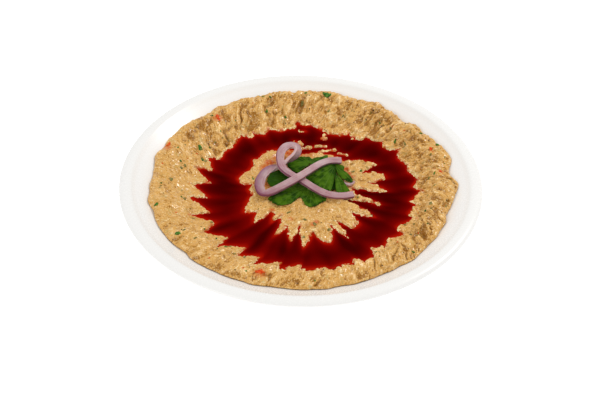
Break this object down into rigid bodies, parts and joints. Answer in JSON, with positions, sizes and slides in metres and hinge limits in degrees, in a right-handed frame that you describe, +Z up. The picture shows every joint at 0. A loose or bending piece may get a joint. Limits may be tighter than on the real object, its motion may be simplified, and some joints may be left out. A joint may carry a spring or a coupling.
{
  "type": "plate of dip",
  "caption": "White plate of aubergine dip spread into a raised ring bank, with a ring of dark red sauce in its channel and onion and parsley leaves on top.",
  "frame": {"origin": "centre of the plate's foot ring, on the surface the plate stands on", "axes": "+Z up through the middle of the plate; -Y towards the diner, +X to their right"},
  "size_m": [0.23, 0.23, 0.0244],
  "materials": {
    "glaze": "white glazed stoneware, glossy",
    "dip": "soft grainy aubergine dip, moist, with specks of herb and pepper",
    "sauce": "thick dark red sauce, glossy",
    "onion": "cut red onion, moist, pale lilac with a purple skin edge",
    "parsley": "flat parsley leaf, veined, slightly glossy"
  },
  "bodies": {
    "root": {"plate": "glaze", "dip": "dip", "sauce": "sauce", "onion_ring": "onion", "onion_sliver": "onion", "parsley_leaf_back": "parsley", "parsley_leaf_left": "parsley", "parsley_leaf_front_left": "parsley", "parsley_leaf_front": "parsley", "parsley_leaf_top": "parsley"}
  },
  "joints": []
}
